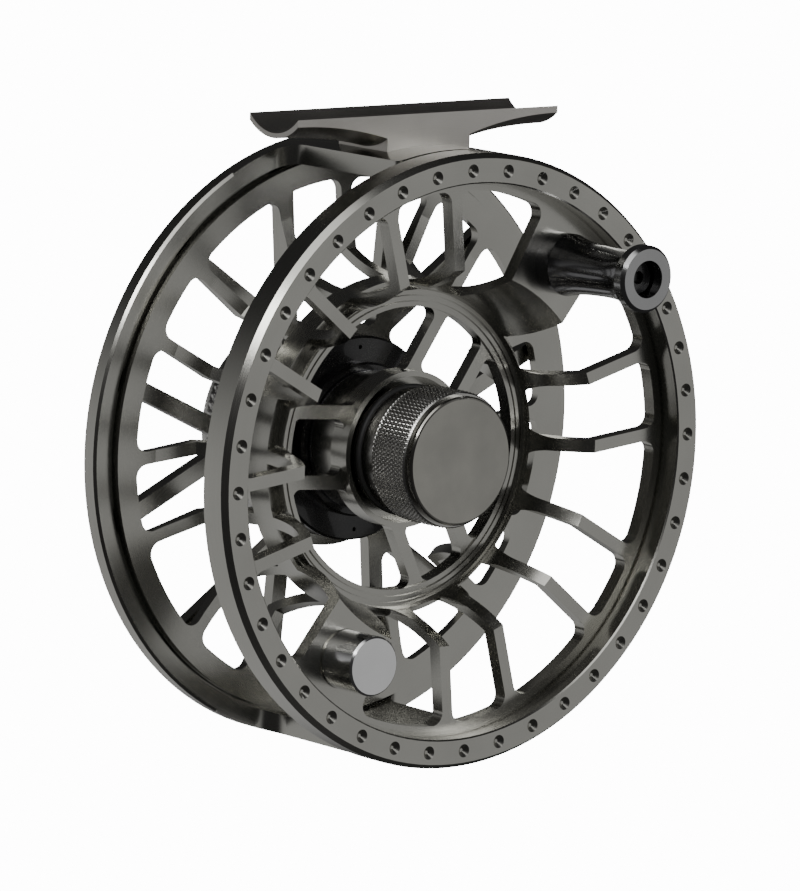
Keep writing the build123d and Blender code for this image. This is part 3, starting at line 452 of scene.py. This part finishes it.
# %% [markdown]
# ## Room, light and camera
#
# Metal shows what is round it, so the room matters as much as the finish. The reel hangs in front of
# white paper. What it reflects is a panel at the front right, a lamp high on the left and a pale sheet
# behind and below on the left. The rest of the room is nearly black, so walls that look that way go dark.

# %% Room
def lobe(graph, direction, towards, start, end, strength):
    """Light from about one direction: it rises smoothly as a ray turns from start to end, as cosines."""
    along = graph.node(
        "ShaderNodeVectorMath", {"operation": "DOT_PRODUCT"},
        [direction, tuple(Vector(towards).normalized())], output="Value",
    )
    rise = graph.node(
        "ShaderNodeMapRange", {"interpolation_type": "SMOOTHSTEP"},
        {"Value": along, "From Min": start, "From Max": end},
    )
    return rise * strength


def studio(graph, direction):
    """How bright the room is in a direction: dark, with a panel, a lamp and a sheet that shine."""
    faces = lobe(graph, direction, (0.64, -0.75, -0.12), 0.60, 0.98, FACE_LIGHT)
    left = lobe(graph, direction, (-0.38, -0.35, 0.86), 0.84, 0.98, KEY_LIGHT)
    sheet = lobe(graph, direction, (-0.35, 0.76, -0.50), 0.45, 0.90, SHEET_LIGHT)
    return faces + left + sheet + ROOM_DARK


PAPER = (14.0, 14.0, 14.0)
FACE_LIGHT = 0.43
KEY_LIGHT = 1.7
SHEET_LIGHT = 0.45
ROOM_DARK = 0.03

room = bpy.data.worlds.new("room")
room.use_nodes = True
bpy.context.scene.world = room
walls = Graph(room.node_tree)
outward = walls.node("ShaderNodeTexCoord", output="Generated")
seen = walls.node("ShaderNodeLightPath", output="Is Camera Ray")
shown = walls.blend(seen, studio(walls, outward), PAPER)
walls.tree.links.new(shown.socket, room.node_tree.nodes["Background"].inputs["Color"])


# %% Lights
def soft_light(name, place, size, power):
    """A square area light that faces the reel's spindle."""
    lamp = bpy.data.lights.new(name, "AREA")
    lamp.shape = "RECTANGLE"
    lamp.size, lamp.size_y = size
    lamp.energy = power
    thing = bpy.data.objects.new(name, lamp)
    bpy.context.scene.collection.objects.link(thing)
    target = Vector((AXIS.x, RIM_FACE + 20 * MM, AXIS.z))
    thing.location = target + Vector(place)
    thing.rotation_mode = "QUATERNION"
    thing.rotation_quaternion = (target - thing.location).to_track_quat("-Z", "Y")


soft_light("high_left", (-0.75, -0.60, 0.75), (0.35, 0.35), 5.0)
soft_light("front_right", (0.75, -0.75, 0.35), (0.30, 0.30), 1.2)

# %% Camera
VIEW_AZIMUTH = math.radians(-40.14)
VIEW_ELEVATION = math.radians(8.99)
VIEW_ROLL = math.radians(2.02)
ahead = Vector((
    -math.sin(VIEW_AZIMUTH) * math.cos(VIEW_ELEVATION),
    math.cos(VIEW_AZIMUTH) * math.cos(VIEW_ELEVATION),
    -math.sin(VIEW_ELEVATION),
))
level = ahead.cross(Vector((0, 0, 1))).normalized()
upright = level.cross(ahead)
right = level * math.cos(VIEW_ROLL) + upright * math.sin(VIEW_ROLL)
up = right.cross(ahead)
lens = bpy.data.cameras.new("camera")
lens.lens = 290.5
lens.sensor_width = 36.0
lens.clip_end = 100.0
camera = bpy.data.objects.new("camera", lens)
bpy.context.scene.collection.objects.link(camera)
camera.rotation_mode = "QUATERNION"
camera.rotation_quaternion = Matrix((right, up, -ahead)).transposed().to_quaternion()
camera.location = Vector((AXIS.x, RIM_FACE, AXIS.z)) + Vector((-817.8, -950.8, 201.1)) * MM
bpy.context.scene.camera = camera
